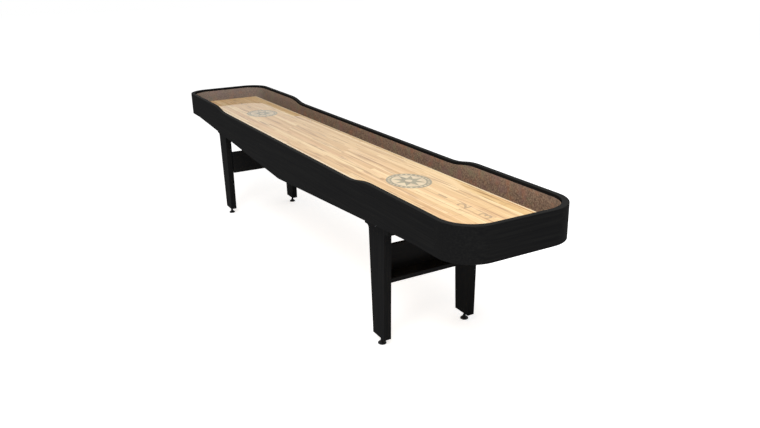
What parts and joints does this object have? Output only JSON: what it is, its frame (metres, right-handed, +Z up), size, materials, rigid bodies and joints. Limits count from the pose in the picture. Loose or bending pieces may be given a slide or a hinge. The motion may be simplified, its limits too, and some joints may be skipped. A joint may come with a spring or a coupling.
{
  "type": "shuffleboard table",
  "caption": "Long indoor shuffleboard table: a maple playfield in a carpeted gutter, a black cabinet with raised ends, and flat tapered legs with stretchers and levelers.",
  "frame": {"origin": "on the floor, under the centre of the cabinet", "axes": "+Z up, +X along the table to its near end, -Y to its front side"},
  "size_m": [3.724, 0.6196, 0.8214],
  "materials": {
    "cabinet_black": "satin black lacquer",
    "wall_carpet": "short pile carpet",
    "gutter_carpet": "short pile carpet",
    "gutter_ply": "raw plywood",
    "maple_gloss": "glossy clear coat",
    "cradle_wood": "raw pine",
    "leg_black": "satin black lacquer",
    "pad_plastic": "matte",
    "zinc_steel": "zinc plated",
    "stem_steel": "black zinc plate",
    "bracket_steel": "black powder coat"
  },
  "bodies": {
    "cabinet": {"adjuster_brackets": "bracket_steel", "adjuster_nuts": "zinc_steel", "adjuster_rods": "zinc_steel", "bearing_rail_back": "cradle_wood", "bearing_rail_front": "cradle_wood", "corner_far_back": "cabinet_black", "corner_far_front": "cabinet_black", "corner_near_back": "cabinet_black", "corner_near_front": "cabinet_black", "cross_bearer_far": "cradle_wood", "cross_bearer_middle": "cradle_wood", "cross_bearer_near": "cradle_wood", "end_apron_far": "cabinet_black", "end_apron_near": "cabinet_black", "end_bearer_far": "cradle_wood", "end_bearer_near": "cradle_wood", "end_lining_far": "wall_carpet", "end_lining_near": "wall_carpet", "gutter_board_back": "gutter_ply", "gutter_board_far": "gutter_ply", "gutter_board_front": "gutter_ply", "gutter_board_near": "gutter_ply", "gutter_carpet_back": "gutter_carpet", "gutter_carpet_far": "gutter_carpet", "gutter_carpet_front": "gutter_carpet", "gutter_carpet_near": "gutter_carpet", "leg_bearer_far": "cradle_wood", "leg_bearer_near": "cradle_wood", "leg_block_far_back": "cradle_wood", "leg_block_far_front": "cradle_wood", "leg_block_near_back": "cradle_wood", "leg_block_near_front": "cradle_wood", "leg_bolts": "zinc_steel", "leg_far_back": "leg_black", "leg_far_front": "leg_black", "leg_near_back": "leg_black", "leg_near_front": "leg_black", "leveler_inserts": "zinc_steel", "playfield": "maple_gloss", "side_apron_back": "cabinet_black", "side_apron_front": "cabinet_black", "side_cleat_back": "cradle_wood", "side_cleat_front": "cradle_wood", "side_lining_back": "wall_carpet", "side_lining_front": "wall_carpet", "stretcher_angles": "bracket_steel", "stretcher_board_far": "leg_black", "stretcher_board_near": "leg_black", "stretcher_shelf_far": "leg_black", "stretcher_shelf_near": "leg_black"},
    "pad_near_front": {"leveler_pad_near_front": "pad_plastic"},
    "stem_near_front": {"leveler_stem_near_front": "stem_steel"},
    "pad_near_back": {"leveler_pad_near_back": "pad_plastic"},
    "stem_near_back": {"leveler_stem_near_back": "stem_steel"},
    "pad_far_front": {"leveler_pad_far_front": "pad_plastic"},
    "stem_far_front": {"leveler_stem_far_front": "stem_steel"},
    "pad_far_back": {"leveler_pad_far_back": "pad_plastic"},
    "stem_far_back": {"leveler_stem_far_back": "stem_steel"}
  },
  "joints": [
    {"name": "level_near_front", "type": "slide", "parent": "cabinet", "child": "pad_near_front", "axis": [0, 0, 1], "range_m": [-0.012, 0.012]},
    {"name": "screw_near_front", "type": "hinge", "parent": "pad_near_front", "child": "stem_near_front", "pos_m": [1.1466, -0.2454, 0], "axis": [0, 0, 1], "range_deg": [-2881, 2881]},
    {"name": "level_near_back", "type": "slide", "parent": "cabinet", "child": "pad_near_back", "axis": [0, 0, 1], "range_m": [-0.012, 0.012]},
    {"name": "screw_near_back", "type": "hinge", "parent": "pad_near_back", "child": "stem_near_back", "pos_m": [1.1466, 0.2454, 0], "axis": [0, 0, 1], "range_deg": [-2881, 2881]},
    {"name": "level_far_front", "type": "slide", "parent": "cabinet", "child": "pad_far_front", "axis": [0, 0, 1], "range_m": [-0.012, 0.012]},
    {"name": "screw_far_front", "type": "hinge", "parent": "pad_far_front", "child": "stem_far_front", "pos_m": [-1.1466, -0.2454, 0], "axis": [0, 0, 1], "range_deg": [-2881, 2881]},
    {"name": "level_far_back", "type": "slide", "parent": "cabinet", "child": "pad_far_back", "axis": [0, 0, 1], "range_m": [-0.012, 0.012]},
    {"name": "screw_far_back", "type": "hinge", "parent": "pad_far_back", "child": "stem_far_back", "pos_m": [-1.1466, 0.2454, 0], "axis": [0, 0, 1], "range_deg": [-2881, 2881]}
  ],
  "couplings": [
    {"joint": "screw_near_front", "follows": "level_near_front", "rad_per_m": 4188.8},
    {"joint": "screw_near_back", "follows": "level_near_back", "rad_per_m": 4188.8},
    {"joint": "screw_far_front", "follows": "level_far_front", "rad_per_m": 4188.8},
    {"joint": "screw_far_back", "follows": "level_far_back", "rad_per_m": 4188.8}
  ]
}
